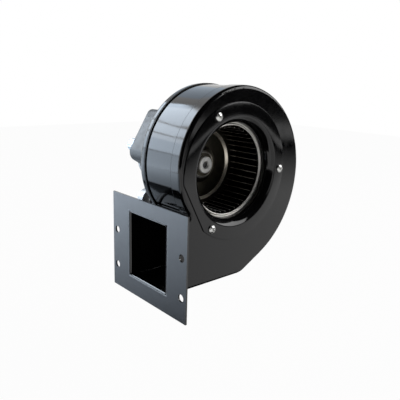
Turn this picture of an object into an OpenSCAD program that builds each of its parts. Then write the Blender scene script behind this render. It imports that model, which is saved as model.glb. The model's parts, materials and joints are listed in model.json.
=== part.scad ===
// Centrifugal blower with a direct-current motor.
// Every piece is drawn in the view from the inlet: x to the right, y down, z into the housing,
// with the fan's axis at x = y = 0 and the housing's front face at z = 0.
// inlet_view() then stands that view up: the finished part has +Z up, its inlet faces -Y and
// its outlet faces -X. The origin is the middle of the four flange holes, on the flange's face.

/* [Scroll] */
// Distance from the fan's axis to the scroll's nearest side
scroll_r = 84.6; // [83:0.2:90]
// Growth of the scroll in one full turn
scroll_growth = 50.8; // [46:0.4:54]
// Depth of the housing along the fan's axis
housing_depth = 73; // [72:1:84]
// Thickness of the pressed front and rear covers
cover_sheet = 1; // [0.8:0.1:1.5]
// Thickness of the rolled wrap between the covers
wrap_sheet = 1; // [0.8:0.1:1.5]
// Outer radius of the covers' pressed corners
corner_r = 4; // [3:0.5:6]
// Depth of the front cover's skirt over the wrap
front_skirt = 16; // [12:1:20]
// Depth of the rear cover's skirt over the wrap
rear_skirt = 8.2; // [7:0.2:12]
// Width of the sealing strip that closes the rear seam
seam_w = 2.4; // [1.6:0.2:4]
// Outer radius of the cutoff tongue
tongue_r = 3; // [2:0.5:5]
// Slope of the ramp that leads the scroll into the duct's floor
ramp_angle = 28; // [24:1:32]
// Radius of the bend between the ramp and the duct's floor
ramp_bend_r = 25; // [15:1:30]

/* [Outlet] */
// Height of the duct's floor under the fan's axis
duct_drop = 126.8; // [125:0.2:129]
// Outer height of the duct
duct_h = 82.5; // [78:0.5:86]
// Distance from the fan's axis to the flange's face
axis_to_flange = 99.7; // [97:0.1:110]
// Distance from the flange's holes to its front and rear edges
flange_side = 8.5; // [7:0.5:14]
// Height of the flange's upper edge over the duct
flange_above = 15.1; // [12:0.1:20]
// Height of the duct's floor over the flange's lower edge
flange_below = 19; // [14:0.5:24]
// Thickness of the flange
flange_sheet = 2; // [1.5:0.5:3]
// Radius of the rounded lip round the flange's opening
lip_r = 3; // [2:0.5:4]
// Thickness of the flange's neck inside the duct
neck_sheet = 1.5; // [1:0.25:2]
// Length of the flange's neck inside the duct
neck_l = 12; // [8:1:18]
// Diameter of the flange's holes
flange_hole_d = 8.6; // [6.4:0.2:9]
// Spacing of the flange's holes along the fan's axis
hole_span_w = 121; // [116:1:124]
// Spacing of the flange's holes up and down
hole_span_h = 43.8; // [30:0.2:70]
// Height of the holes' middle over the duct's floor
hole_rise = 30.2; // [26:0.2:44]

/* [Inlet] */
// Thickness of the inlet plate
inlet_sheet = 1.2; // [1:0.1:2]
// Distance from the wheel's outer edge in to the throat
throat_inset = 3.4; // [2:0.2:6]
// Growth of the bell mouth's radius from the throat to the plate's face
bell_flare = 8; // [6:0.2:9]
// Depth of the bell mouth's curve
bell_depth = 11; // [9:0.5:13]
// Length of the straight throat behind the curve
throat_l = 2.6; // [2:0.2:5]
// Distance from the front cover's hole out to the plate's screws
screw_inset = 5.6; // [5:0.2:8]
// Distance from the plate's screws to its edge
plate_edge = 7.2; // [5:0.2:9]
// Depth of the segment trimmed off the plate's edge
trim_cut = 6.6; // [2:0.2:9]
// Direction of the plate's trimmed edge, clockwise from the right
trim_turn = 152; // [140:1:165]
// Direction of the plate's first screw, clockwise from the right
inlet_screw_turn = 2; // [0:1:6]
// Thread diameter of the plate's screws
inlet_screw_d = 5; // [4:0.5:5]

/* [Wheel] */
// Outer radius of the blades
blade_outer_r = 59.2; // [57:0.2:60.4]
// Radial depth of the blades
blade_depth = 9.8; // [8:0.2:11]
// Number of blades
blade_count = 40; // [32:1:44]
// Thickness of a blade
blade_sheet = 0.7; // [0.5:0.1:1]
// Radius of a blade's curve
blade_curve_r = 7.5; // [7:0.1:9]
// Thickness of the wheel's rings and disc
ring_sheet = 1; // [0.8:0.1:1.2]
// Depth of the folded rims round the blades' ends
rim_w = 4; // [3:0.5:6]
// Radial width of the front ring
ring_w = 8.3; // [6:0.1:9]
// Depth of the disc's dish behind the blades
dish_depth = 2.6; // [2:0.2:3.4]
// Distance from the blades' inner edges in to the dish
dish_inset = 5.4; // [3:0.2:8]
// Width of the dish's sloping edge
dish_slope = 2.5; // [2:0.25:5]
// Radius of the hub
hub_r = 10.5; // [9.5:0.5:12]
// Length of the hub
hub_l = 15.4; // [14:0.2:17]
// Height of the hub's front face over the disc
hub_rise = 7; // [6:0.5:10]

/* [Motor] */
// Diameter of the shaft
shaft_d = 8; // [7.8:0.1:8.4]
// Radius of the motor's can
can_r = 36; // [35.5:0.5:38]
// Wall of the motor's can
can_wall = 2; // [1.5:0.25:2]
// Length of the motor's can
can_l = 52; // [51:0.5:60]
// Number of slots in the armature and bars in the commutator
slot_count = 12; // [10:2:14]
// Radius of the commutator
commutator_r = 11; // [10:0.5:12]
// Length of the commutator
commutator_l = 11; // [10:0.5:12]
// Thickness of the magnets
magnet_t = 5.5; // [5:0.25:5.75]
// Angle that each magnet covers
magnet_arc = 120; // [100:5:130]
// Gap between the housing's back and the motor's arms
arm_gap = 10; // [7:0.5:14]
// Thickness of the motor's arms
arm_t = 10; // [8:0.5:12]
// Width of the motor's arms
arm_w = 16; // [12:1:18]
// Number of arms
arm_count = 3; // [3:1:4]
// Direction of the first arm, clockwise from the right
arm_turn = 147; // [140:1:148]
// Radius of the circle of studs that carry the arms
stud_circle_r = 74; // [70:0.5:75]
// Thread diameter of the studs
stud_d = 5; // [4:0.5:6]

/* [Terminal box] */
// Direction that the box faces, clockwise from the right
box_turn = 211; // [205:1:216]
// Inner height of the box over its floor
box_room = 22; // [20:0.5:26]
// Length of the box's body below its middle line
box_low = 29; // [26:0.5:32]
// Length from the middle line to the joint with the cap
box_high = 26; // [24:0.5:30]
// Length of the cap
cap_l = 14; // [11:0.5:16]
// Depth of the box along the fan's axis
box_depth = 30; // [28:0.5:34]
// Wall of the box
box_wall = 2.5; // [2:0.25:3]
// Radius of the box's lower corner
box_corner_r = 12; // [8:0.5:14]
// Radius of the cap's corner
cap_corner_r = 9; // [6:0.5:10]
// Outer radius of the gland's dome
gland_r = 8.5; // [8:0.1:9.5]
// Length of the gland's dome
gland_l = 20; // [16:0.5:22]
// Radius of the cable that the gland's seal takes
cable_r = 3.5; // [2.5:0.1:4]

/* [Clearances] */
// Gap between sheets that lie on each other
slip = 0.1; // [0.05:0.05:0.2]
// Radial clearance of a screw in its hole
screw_clear = 0.3; // [0.2:0.05:0.5]
// Radial running clearance inside the bearings
run_clear = 0.05; // [0.02:0.01:0.1]
// Gap between the throat's end and the wheel
wheel_gap = 1.8; // [1:0.1:3]
// Gap between the wheel's disc and the rear cover
disc_gap = 7.4; // [4:0.2:10]
// Radial room round the bell mouth in the front cover's hole
hole_room = 1.4; // [0.8:0.1:2]
// Air gap between the armature and the magnets
air_gap = 1.2; // [0.8:0.1:2]

/* [Hidden] */
$fn = 96;
HAIR = 0.01;                 // clearance of parts pressed or screwed into each other
THROUGH = 1;                 // how far a cutter reaches past the face it opens
ARC_STEPS = 12;              // points along each arc of a flat outline
FAR = 300;                   // past everything in the housing
JOINT_STEP = 0.01;
CORNER_FN = 32;              // facets of a small corner's circle
SEAL_PROUD = 0.25;           // how far the seal stands out of the covers
NECK_CORNER_R = 3;           // outer radius of the neck's corners
BELL_STEPS = 10;             // points along the bell mouth's curve

// Where the inlet view stands in the finished part
axis_x = axis_to_flange;
axis_z = duct_drop - hole_rise;
front_y = -housing_depth / 2;

// The scroll is four quarter arcs about the corners of a small square round the axis
square_side = scroll_growth / 4;
ramp_turn = 90 - ramp_angle;
duct_top = duct_drop - duct_h;
mouth_x = -axis_to_flange + flange_sheet;
flange_w = hole_span_w + 2 * flange_side;
flange_h = flange_above + duct_h + flange_below;
function quarter_centre(k) = square_side / 2 * [k == 1 || k == 2 ? 1 : -1, k < 2 ? -1 : 1];
function quarter_r(k) = scroll_r + square_side / 2 + (k - 1) * square_side;

// The tongue rounds the corner between the first arc and the duct's top
tongue_y = duct_top - tongue_r;
tongue_turn = 180 - asin((tongue_y - quarter_centre(0)[1]) / (quarter_r(0) + tongue_r));
tongue_c = quarter_centre(0) + (quarter_r(0) + tongue_r) * [cos(tongue_turn), sin(tongue_turn)];
function quarter_from(k) = k == 0 ? tongue_turn : 90 + 90 * k;
function quarter_to(k) = k == 3 ? 360 + ramp_turn : 180 + 90 * k;

// The ramp leaves the last arc straight and bends into the duct's floor
ramp_out = [cos(ramp_turn), sin(ramp_turn)];
ramp_along = [-ramp_out[1], ramp_out[0]];
ramp_start = quarter_centre(3) + quarter_r(3) * ramp_out;
ramp_l = (duct_drop - ramp_bend_r - ramp_start[1] + ramp_bend_r * ramp_out[1]) / ramp_along[1];
bend_c = ramp_start - ramp_bend_r * ramp_out + ramp_l * ramp_along;

function arc_points(c, r, from, to) =
    [for (i = [0:ARC_STEPS]) let (a = from + (to - from) * i / ARC_STEPS) c + r * [cos(a), sin(a)]];
// The housing's outline, moved inwards by inset
function outline(inset) = concat(
    [[mouth_x, duct_top + inset]],
    arc_points(tongue_c, tongue_r + inset, 90, tongue_turn - 180),
    [for (k = [0:3])
        each arc_points(quarter_centre(k), quarter_r(k) - inset, quarter_from(k), quarter_to(k))],
    arc_points(bend_c, ramp_bend_r - inset, ramp_turn, 90),
    [[mouth_x, duct_drop - inset]]);

// Walls of the housing, as distances inwards from its outer face
wrap_in = cover_sheet + slip;
wall_in = wrap_in + wrap_sheet;
wrap_start = corner_r + slip;
wrap_end = housing_depth - corner_r - slip;
seam_z = housing_depth - rear_skirt;
FACE_STRIP = 10;             // width of the swept strip that the covers' flat faces are joined to

// The flange's neck
neck_out = wall_in + slip;
neck_front = cover_sheet + slip;
open_in = neck_out + neck_sheet;
open_h = duct_h - 2 * open_in;
open_w = housing_depth - 2 * (neck_front + neck_sheet);
duct_mid = duct_top + duct_h / 2;

// Radii of the wheel and, round it, of the inlet from its throat to the plate's edge
TIP_OVER = 0.3;              // how far a blade's curve would pass the blades' outer edge
blade_inner_r = blade_outer_r - blade_depth;
blade_centre_r = blade_outer_r + TIP_OVER - blade_curve_r;
dish_r = blade_inner_r - dish_inset;
throat_r = blade_outer_r - throat_inset;
bell_r = throat_r + bell_flare;
front_hole_r = bell_r + inlet_sheet + hole_room;
inlet_screw_circle_r = front_hole_r + screw_inset;
inlet_r = inlet_screw_circle_r + plate_edge;

// The inlet's screws
function head_r(d) = 0.95 * d;
screw_head_r = head_r(inlet_screw_d);
screw_head_h = 0.6 * inlet_screw_d;
nut_h = 0.8 * inlet_screw_d;
SCREW_TIP = 1;               // a screw's thread behind its nut

// Depths along the axis: the wheel stands between the throat and the rear cover
wheel_front = bell_depth + throat_l + wheel_gap;
ring_back = wheel_front + ring_sheet;
dish_front = housing_depth - cover_sheet - disc_gap - ring_sheet;
disc_front = dish_front - dish_depth;
hub_front = disc_front - hub_rise;
hub_back = hub_front + hub_l;
arm_front = housing_depth + arm_gap;
can_front = arm_front + arm_t;
can_back = can_front + can_l;
BEARING_W = 7;               // standard deep-groove bearing, 8 x 22 x 7
BEARING_R = 11;
BALL_R = 1.98;
BALL_COUNT = 7;
ball_circle_r = (BEARING_R + shaft_d / 2) / 2;
FRONT_SEAT = 3;              // how far the front bearing stands in front of the arms
REAR_SEAT = 1.5;             // how far the rear bearing stands behind the can
front_bearing = arm_front - FRONT_SEAT;
rear_bearing = can_back + REAR_SEAT;
REGISTER_L = 3;              // length of the shields' registers inside the can
REGISTER_WALL = 3.4;
REGISTER_ROOM = 2;           // room between the front register and the magnets
MAGNET_OVER = 5;             // how far the magnets reach past the core in front
MAGNET_BEHIND = 3;           // how far they reach past it behind
END_TURN_L = 4.5;            // length of the windings past the core
TURN_ROOM = 0.5;             // room between the windings and the commutator
REAR_ROOM = 2;               // room between the commutator and the can's end
magnet_front = can_front + REGISTER_L + REGISTER_ROOM;
core_front = magnet_front + MAGNET_OVER;
commutator_front = can_back - REAR_ROOM - commutator_l;
core_l = commutator_front - TURN_ROOM - END_TURN_L - core_front;
magnet_l = MAGNET_OVER + core_l + MAGNET_BEHIND;
magnet_in = can_r - can_wall - slip - magnet_t;
armature_r = magnet_in - air_gap;
register_r = can_r - can_wall - slip;
plate_t = 2;
plate_front = can_back - plate_t - slip;
brush_h = 8;
brush_w = 6;
brush_l = 9;
brush_start = commutator_r + run_clear;
HOLDER_INSET = 1.5;          // from the register's bore in to the brush holders' ends
holder_end = register_r - REGISTER_WALL - HOLDER_INSET;
HOLDER_WALL = 0.8;
brush_z = plate_front - HOLDER_WALL - brush_h / 2 - slip;
THROUGH_BOLT_D = 4;
SHIELD_T = 4;                // thickness of the rear shield's flange

// The box beside the motor
BOX_BEHIND = 1;              // from the motor's arms to the box
SADDLE_T = 2.5;              // thickness of the box's floor over the can
box_front = can_front + BOX_BEHIND;
box_back = box_front + box_depth;
floor_r = can_r + SADDLE_T;  // distance from the axis to the box's floor
box_top = floor_r + box_room + box_wall;
THREAD_R = 8;                // M16 thread of the gland
THREAD_L = 9;
THREAD_ROOM = 0.5;           // room between that thread and the box's floor
HEX_H = 5;
BLOCK_POLES = 3;
BLOCK_PITCH = 6;
BLOCK_SIZE = [9, BLOCK_POLES * BLOCK_PITCH, 14];
BLOCK_SIDE = 2.5;            // from the block to the joint with the cap
BLOCK_TO_THREAD = 6;         // from the block to the gland's thread
block_along = box_high - BLOCK_SIDE - BLOCK_SIZE[1];
gland_at = [floor_r + THREAD_ROOM + THREAD_R, block_along - BLOCK_TO_THREAD - THREAD_R];

module inlet_view() {
    translate([axis_x, front_y, axis_z]) rotate([-90, 0, 0]) children();
}
// A body of revolution about the fan's axis: profile x is the radius and y the depth
module turned() {
    rotate_extrude() children();
}
// A flat piece between two depths
module slab(from, to) {
    translate([0, 0, from]) linear_extrude(to - from) children();
}
// Copies round the fan's axis
module round_axis(count, turn = 0) {
    for (i = [0:count - 1]) rotate([0, 0, turn + i * 360 / count]) children();
}
module run_arc(c, r, from, to) {
    translate([c[0], c[1], 0]) rotate([0, 0, from])
        rotate_extrude(angle = to - from) translate([r, 0]) mirror([1, 0]) children();
}
// A straight wall along x from the point at to a little past the duct's mouth
module run_to_mouth(at) {
    translate([at[0], at[1], 0]) rotate([0, 0, -90]) rotate([90, 0, 0])
        linear_extrude(at[0] - mouth_x + THROUGH) children();
}
// The duct's share of the walls: two of its edges are the planes where the scroll's arcs end.
// With a reach, it laps that far over the first arc.
module duct_zone(reach = 0) {
    lap = reach * [-sin(tongue_turn), cos(tongue_turn)];
    wall_zone([quarter_centre(0) + lap, tongue_c + lap, [mouth_x, tongue_c[1] + lap[1]], [mouth_x, FAR],
               quarter_centre(3) + FAR * ramp_out, quarter_centre(3)]);
}
// The ramp's share, which with a reach laps over the last arc and the bend
module ramp_zone(reach = 0) {
    from = quarter_centre(3) - reach * ramp_along;
    to = bend_c + reach * ramp_along;
    wall_zone([from, from + FAR * ramp_out, to + FAR * ramp_out, to]);
}
module wall_zone(corners) {
    translate([0, 0, -THROUGH]) linear_extrude(housing_depth + 2 * THROUGH) polygon(corners);
}
// Carries a wall's section along the housing: section x goes inwards and y is the depth.
// The tongue and the ramp lap over their neighbours by JOINT_STEP, and are set in by it, away
// from the outer skin and towards the depth that the section faces, so that no two faces
// nearly coincide where the pieces meet.
module along_wall(towards = 1) {
    set_in = JOINT_STEP * [1, towards];
    difference() {
        for (k = [0:3]) run_arc(quarter_centre(k), quarter_r(k), 90 + 90 * k, 180 + 90 * k) children();
        duct_zone();
    }
    intersection() {
        union() {
            run_to_mouth([tongue_c[0], duct_top]) mirror([1, 0]) translate(set_in) children();
            translate([tongue_c[0], tongue_c[1], 0]) rotate([0, 0, -90])
                rotate_extrude(angle = 180) translate([tongue_r, 0]) translate(set_in) children();
        }
        duct_zone(JOINT_STEP);
    }
    intersection() {
        translate([bend_c[0], bend_c[1], 0]) rotate([0, 0, ramp_turn])
            translate([ramp_bend_r, THROUGH, 0]) rotate([90, 0, 0])
            linear_extrude(ramp_l + 2 * THROUGH) mirror([1, 0]) translate(set_in) children();
        ramp_zone(JOINT_STEP);
    }
    difference() {
        intersection() {
            union() {
                run_arc(bend_c, ramp_bend_r, 0, 90) children();
                run_to_mouth([bend_c[0], duct_drop]) children();
            }
            duct_zone();
        }
        ramp_zone();
    }
}
// Section of a pressed cover: its skirt, its rounded corner and a strip of its flat face
module cover_section(skirt) {
    translate([0, corner_r]) square([cover_sheet, skirt - corner_r]);
    translate([corner_r, 0]) square([FACE_STRIP - corner_r, cover_sheet]);
    intersection() {
        translate([corner_r, corner_r]) difference() {
            circle(corner_r, $fn = CORNER_FN);
            circle(corner_r - cover_sheet, $fn = CORNER_FN);
        }
        square(corner_r);
    }
}
// Pan-head screw with a cross slot
module slotted_screw(d, head_r, head_h, l) {
    slot_l = 1.1 * head_r;
    slot_w = 0.18 * d;
    difference() {
        union() {
            cylinder(r = head_r, h = head_h);
            translate([0, 0, head_h]) cylinder(d = d, h = l);
        }
        for (a = [0, 90]) rotate([0, 0, a]) translate([-slot_l / 2, -slot_w / 2, -THROUGH])
            cube([slot_l, slot_w, THROUGH + 0.55 * head_h]);
    }
}
module hex_nut(d, across, h) {
    difference() {
        cylinder(r = across / sqrt(3), h = h, $fn = 6);
        translate([0, 0, -THROUGH]) cylinder(d = d, h = h + 2 * THROUGH);
    }
}

// ---- housing ----
module front_cover() {
    color("#17181a") inlet_view() difference() {
        union() {
            along_wall() cover_section(front_skirt);
            slab(0, cover_sheet) polygon(outline((corner_r + FACE_STRIP) / 2));
        }
        translate([0, 0, -THROUGH]) cylinder(r = front_hole_r, h = cover_sheet + 2 * THROUGH);
        round_axis(3, inlet_screw_turn) translate([inlet_screw_circle_r, 0, -THROUGH])
            cylinder(r = inlet_screw_d / 2 + screw_clear, h = cover_sheet + 2 * THROUGH);
    }
}
module scroll_wrap() {
    color("#1c1e22") inlet_view() along_wall()
        translate([wrap_in, wrap_start]) square([wrap_sheet, wrap_end - wrap_start]);
}
module rear_cover() {
    color("#17181a") inlet_view() difference() {
        union() {
            along_wall(-1) translate([0, housing_depth]) mirror([0, 1]) cover_section(rear_skirt);
            slab(housing_depth - cover_sheet, housing_depth)
                polygon(outline((corner_r + FACE_STRIP) / 2));
        }
        translate([0, 0, housing_depth - cover_sheet - THROUGH])
            cylinder(r = motor_boss_r + COVER_ROOM, h = cover_sheet + 2 * THROUGH);
        round_axis(arm_count, arm_turn)
            translate([stud_circle_r, 0, housing_depth - cover_sheet - THROUGH])
            cylinder(r = stud_d / 2 + HAIR, h = cover_sheet + 2 * THROUGH);
    }
}
module seam_seal() {
    color("#050506") inlet_view() along_wall()
        translate([-SEAL_PROUD, seam_z - slip / 2 - seam_w])
        square([wrap_in + SEAL_PROUD - slip / 2, seam_w]);
}

// Opening that widens over the lip's radius, drawn across the flange
module trumpet(half) {
    outside = -axis_to_flange - THROUGH;
    translate([outside, -half]) square([neck_l + flange_sheet + 2 * THROUGH, 2 * half]);
    difference() {
        translate([outside, -half - lip_r]) square([lip_r + THROUGH, 2 * (half + lip_r)]);
        for (side = [-1, 1]) translate([lip_r - axis_to_flange, side * (half + lip_r)]) circle(lip_r);
    }
}
module outlet_flange() {
    color("#3b4149") inlet_view() difference() {
        union() {
            translate([-axis_to_flange, duct_top - flange_above, (housing_depth - flange_w) / 2])
                cube([flange_sheet, flange_h, flange_w]);
            translate([-axis_to_flange, duct_mid, housing_depth / 2]) rotate([0, 90, 0])
                linear_extrude(flange_sheet + neck_l)
                rounded_box(housing_depth - 2 * neck_front, duct_h - 2 * neck_out, NECK_CORNER_R);
        }
        intersection() {
            translate([0, duct_mid, -THROUGH]) linear_extrude(housing_depth + 2 * THROUGH)
                trumpet(open_h / 2);
            translate([0, duct_drop, housing_depth / 2]) rotate([90, 0, 0])
                linear_extrude(duct_h) trumpet(open_w / 2);
        }
        for (i = [-1, 1], j = [-1, 1])
            translate([-axis_to_flange - THROUGH, duct_drop - hole_rise + i * hole_span_h / 2,
                       (housing_depth + j * hole_span_w) / 2])
            rotate([0, 90, 0]) cylinder(d = flange_hole_d, h = flange_sheet + 2 * THROUGH);
    }
}
module rounded_box(w, h, r) {
    square([w - 2 * r, h], center = true);
    square([w, h - 2 * r], center = true);
    for (i = [-1, 1], j = [-1, 1]) translate([i * (w / 2 - r), j * (h / 2 - r)]) circle(r);
}

// ---- inlet ----
// The bell mouth's curve ends along the axis and meets the face at the angle that its depth leaves
bell_run = bell_depth + inlet_sheet;
bell_sweep = 2 * atan((bell_r - throat_r) / bell_run);
bell_curve_r = bell_run / sin(bell_sweep);
function bell_points(r, in_order) =
    [for (i = [0:BELL_STEPS]) let (a = bell_sweep * (in_order ? 1 - i / BELL_STEPS : i / BELL_STEPS))
        [throat_r + bell_curve_r - r * cos(a), bell_depth - r * sin(a)]];
module inlet_plate() {
    color("#141517") inlet_view() difference() {
        union() {
            slab(-inlet_sheet - slip, -slip) difference() {
                circle(inlet_r);
                circle(bell_r);
                rotate([0, 0, trim_turn]) translate([inlet_r - trim_cut, -inlet_r]) square(2 * inlet_r);
            }
            translate([0, 0, -slip]) turned() polygon(concat(
                bell_points(bell_curve_r, true),
                [[throat_r, bell_depth + throat_l], [throat_r + inlet_sheet, bell_depth + throat_l]],
                bell_points(bell_curve_r - inlet_sheet, false),
                [[bell_r + inlet_sheet, 0], [bell_r + inlet_sheet, -inlet_sheet]]));
        }
        round_axis(3, inlet_screw_turn) translate([inlet_screw_circle_r, 0, -inlet_sheet - THROUGH])
            cylinder(r = inlet_screw_d / 2 + screw_clear, h = inlet_sheet + 2 * THROUGH);
    }
}
module inlet_screws() {
    color("#c9cbcc") inlet_view() round_axis(3, inlet_screw_turn)
        translate([inlet_screw_circle_r, 0, -inlet_sheet - 2 * slip - screw_head_h])
        slotted_screw(inlet_screw_d, screw_head_r, screw_head_h,
                        inlet_sheet + cover_sheet + 2 * slip + nut_h + SCREW_TIP);
}
module clinch_nuts() {
    color("#b9bbbd") inlet_view() round_axis(3, inlet_screw_turn)
        translate([inlet_screw_circle_r, 0, cover_sheet + slip / 2]) difference() {
            cylinder(r = 0.9 * inlet_screw_d, h = nut_h);
            translate([0, 0, -THROUGH]) cylinder(r = inlet_screw_d / 2 + HAIR, h = nut_h + 2 * THROUGH);
        }
}

// ---- wheel ----
rim_in = blade_outer_r + slip;
wheel_r = rim_in + ring_sheet;
BOSS_RISE = 4.5;             // height of the disc's pressed boss over its dish
BOSS_LAND = 4.5;             // flat round the hub on that boss
BOSS_SLOPE = 8;              // width of the boss's sloping side
HUB_STEP = 2.5;              // depth of the neck that holds the disc in the hub
seat_z = dish_front - BOSS_RISE;
boss_top_r = hub_r + BOSS_LAND;
hub_neck_r = hub_r - HUB_STEP;
module wheel_blades() {
    color("#3a3632") inlet_view() round_axis(blade_count) slab(ring_back, disc_front) blade();
}
// A blade's section: it starts nearly radial and its outer end leans into the rotation
module blade() {
    intersection() {
        translate([blade_centre_r, 0]) difference() {
            circle(blade_curve_r + blade_sheet / 2);
            circle(blade_curve_r - blade_sheet / 2);
        }
        difference() {
            circle(blade_outer_r);
            circle(blade_inner_r);
        }
        translate([0, -2 * blade_curve_r]) square([blade_outer_r + THROUGH, 2 * blade_curve_r]);
    }
}
BEAD_R = 1;                  // bead along the front ring's inner edge
module wheel_front_ring() {
    inner = wheel_r - ring_w;
    color("#d5d3cf") inlet_view() turned() {
        translate([inner, wheel_front]) square([ring_w, ring_sheet]);
        translate([rim_in, wheel_front]) square([ring_sheet, rim_w]);
        translate([inner + BEAD_R, wheel_front]) intersection() {
            circle(BEAD_R, $fn = CORNER_FN);
            translate([-BEAD_R, -BEAD_R]) square([2 * BEAD_R, BEAD_R + ring_sheet / 2]);
        }
    }
}
// Front surface of the disc from its centre hole outwards
function disc_line(lift) = [
    [hub_neck_r + slip / 2, seat_z + lift], [boss_top_r, seat_z + lift],
    [boss_top_r + BOSS_SLOPE, dish_front + lift], [dish_r - dish_slope, dish_front + lift],
    [dish_r, disc_front + lift], [wheel_r, disc_front + lift]];
function reversed(list) = [for (i = [len(list) - 1:-1:0]) list[i]];
module wheel_back_disc() {
    color("#a9a7a3") inlet_view() turned() {
        polygon(concat(disc_line(0), reversed(disc_line(ring_sheet))));
        translate([rim_in, disc_front - rim_w]) square([ring_sheet, rim_w + ring_sheet]);
    }
}
module wheel_hub() {
    color("#c7c5c1") inlet_view() difference() {
        turned() polygon([
            [bore_r + BORE_EDGE, hub_front], [hub_r - HUB_EDGE, hub_front], [hub_r, hub_front + HUB_EDGE],
            [hub_r, seat_z], [hub_neck_r, seat_z], [hub_neck_r, seat_z + ring_sheet],
            [hub_r, seat_z + ring_sheet], [hub_r, hub_back], [bore_r, hub_back],
            [bore_r, hub_front + BORE_EDGE]]);
        translate([0, 0, set_screw_z]) rotate([0, 90, 0])
            cylinder(r = SET_SCREW_D / 2 + HAIR, h = hub_r + THROUGH);
    }
}
HUB_EDGE = 0.8;              // bevel of the hub's front edge
BORE_EDGE = 1.2;             // bevel of its bore
bore_r = shaft_d / 2 + HAIR;
SET_SCREW_D = 4;
SOCKET_L = 2;                // depth of the set screw's socket
set_screw_l = hub_r - shaft_d / 2 - 2 * slip;
set_screw_z = (seat_z + ring_sheet + hub_back) / 2;
module hub_set_screw() {
    color("#3c3c3e") inlet_view() translate([0, 0, set_screw_z]) rotate([0, 90, 0])
        translate([0, 0, shaft_d / 2 + slip]) difference() {
            cylinder(d = SET_SCREW_D, h = set_screw_l);
            translate([0, 0, set_screw_l - SOCKET_L])
                cylinder(d = SET_SCREW_D / 2, h = SOCKET_L + THROUGH, $fn = 6);
        }
}

// ---- rotor of the motor ----
module motor_shaft() {
    color("#b4b6b8") inlet_view() translate([0, 0, shaft_front])
        cylinder(d = shaft_d, h = rear_bearing + BEARING_W + SHAFT_TAIL - shaft_front);
}
SHAFT_INSET = 3;             // how far the shaft's end lies inside the hub
shaft_front = hub_front + SHAFT_INSET;
SHAFT_TAIL = 0.6;            // end of the shaft behind the rear bearing
TOOTH_TIP = 2.5;             // iron between a slot's round part and the core's surface
SLOT_SHARE = 0.62;           // share of the slots' circle that the slots take
SLOT_MOUTH = 1.6;
slot_r = SLOT_SHARE * PI * (armature_r - TOOTH_TIP) / (slot_count + SLOT_SHARE * PI);
slot_circle_r = armature_r - TOOTH_TIP - slot_r;
module armature_core() {
    color("#5b5e62") inlet_view() slab(core_front, core_front + core_l) difference() {
        circle(armature_r);
        circle(shaft_d / 2 + HAIR);
        round_axis(slot_count) {
            translate([slot_circle_r, 0]) circle(slot_r);
            translate([slot_circle_r, -SLOT_MOUTH / 2]) square([armature_r, SLOT_MOUTH]);
        }
    }
}
module armature_windings() {
    color("#b06a35") inlet_view() {
        round_axis(slot_count) translate([slot_circle_r, 0, core_front - END_TURN_L / 2])
            cylinder(r = slot_r - slip, h = core_l + END_TURN_L);
        for (z = [core_front - slip - END_TURN_L, core_front + core_l + slip])
            translate([0, 0, z]) turned() translate([slot_circle_r - 1.4 * slot_r, 0])
            square([2.4 * slot_r, END_TURN_L]);
    }
}
module commutator() {
    color("#b87333") inlet_view() difference() {
        slab(commutator_front, commutator_front + commutator_l) difference() {
            circle(commutator_r);
            circle(shaft_d / 2 + HAIR);
        }
        round_axis(slot_count, 180 / slot_count)
            translate([commutator_r - GROOVE_DEPTH, -GROOVE_W / 2, commutator_front - THROUGH])
            cube([GROOVE_DEPTH + THROUGH, GROOVE_W, commutator_l + 2 * THROUGH]);
    }
}

GROOVE_DEPTH = 1.2;          // grooves between the commutator's bars
GROOVE_W = 0.6;

// ---- bearings ----
module at_bearings() {
    for (z = [front_bearing, rear_bearing]) translate([0, 0, z]) children();
}
module race(inner, outer) {
    turned() difference() {
        translate([inner, 0]) square([outer - inner, BEARING_W]);
        translate([ball_circle_r, BEARING_W / 2]) circle(BALL_R + run_clear);
    }
}
LAND = 1.2;                  // distance from the balls' circle to each ring's land
module bearing_inner_rings() {
    color("#d0d2d4") inlet_view() at_bearings() race(shaft_d / 2 + HAIR, ball_circle_r - LAND);
}
module bearing_outer_rings() {
    color("#c4c6c8") inlet_view() at_bearings() race(ball_circle_r + LAND, BEARING_R);
}
module bearing_balls() {
    color("#e4e6e8") inlet_view() at_bearings() round_axis(BALL_COUNT)
        translate([ball_circle_r, 0, BEARING_W / 2]) sphere(BALL_R);
}
module bearing_cages() {
    color("#a08a50") inlet_view() at_bearings() difference() {
        slab(CAGE_INSET, BEARING_W - CAGE_INSET) difference() {
            circle(ball_circle_r + LAND / 2);
            circle(ball_circle_r - LAND / 2);
        }
        round_axis(BALL_COUNT) translate([ball_circle_r - LAND, 0, BEARING_W / 2]) rotate([0, 90, 0])
            cylinder(r = BALL_R + run_clear, h = 2 * LAND);
    }
}
CAGE_INSET = 1;
WAVE_T = 0.4;
WAVE_W = 2.3;
WAVE_ROOM = 0.3;             // radial room round the wave washer
WAVE_RISE = 0.3;
WAVE_STEPS = 36;
wave_out = BEARING_R - WAVE_ROOM;
wave_in = wave_out - WAVE_W;
// A ring whose height runs in three waves
module wave_washer() {
    washer_z = rear_bearing + BEARING_W + WAVE_RISE + slip;
    corners = [[wave_in, 0], [wave_out, 0], [wave_out, WAVE_T], [wave_in, WAVE_T]];
    points = [for (i = [0:WAVE_STEPS - 1]) let (a = 360 * i / WAVE_STEPS) for (c = corners)
        [c[0] * cos(a), c[0] * sin(a), c[1] + WAVE_RISE * sin(3 * a)]];
    color("#9a9c9e") inlet_view() translate([0, 0, washer_z])
        polyhedron(points, loop_faces(WAVE_STEPS, 4, true));
}
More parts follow.
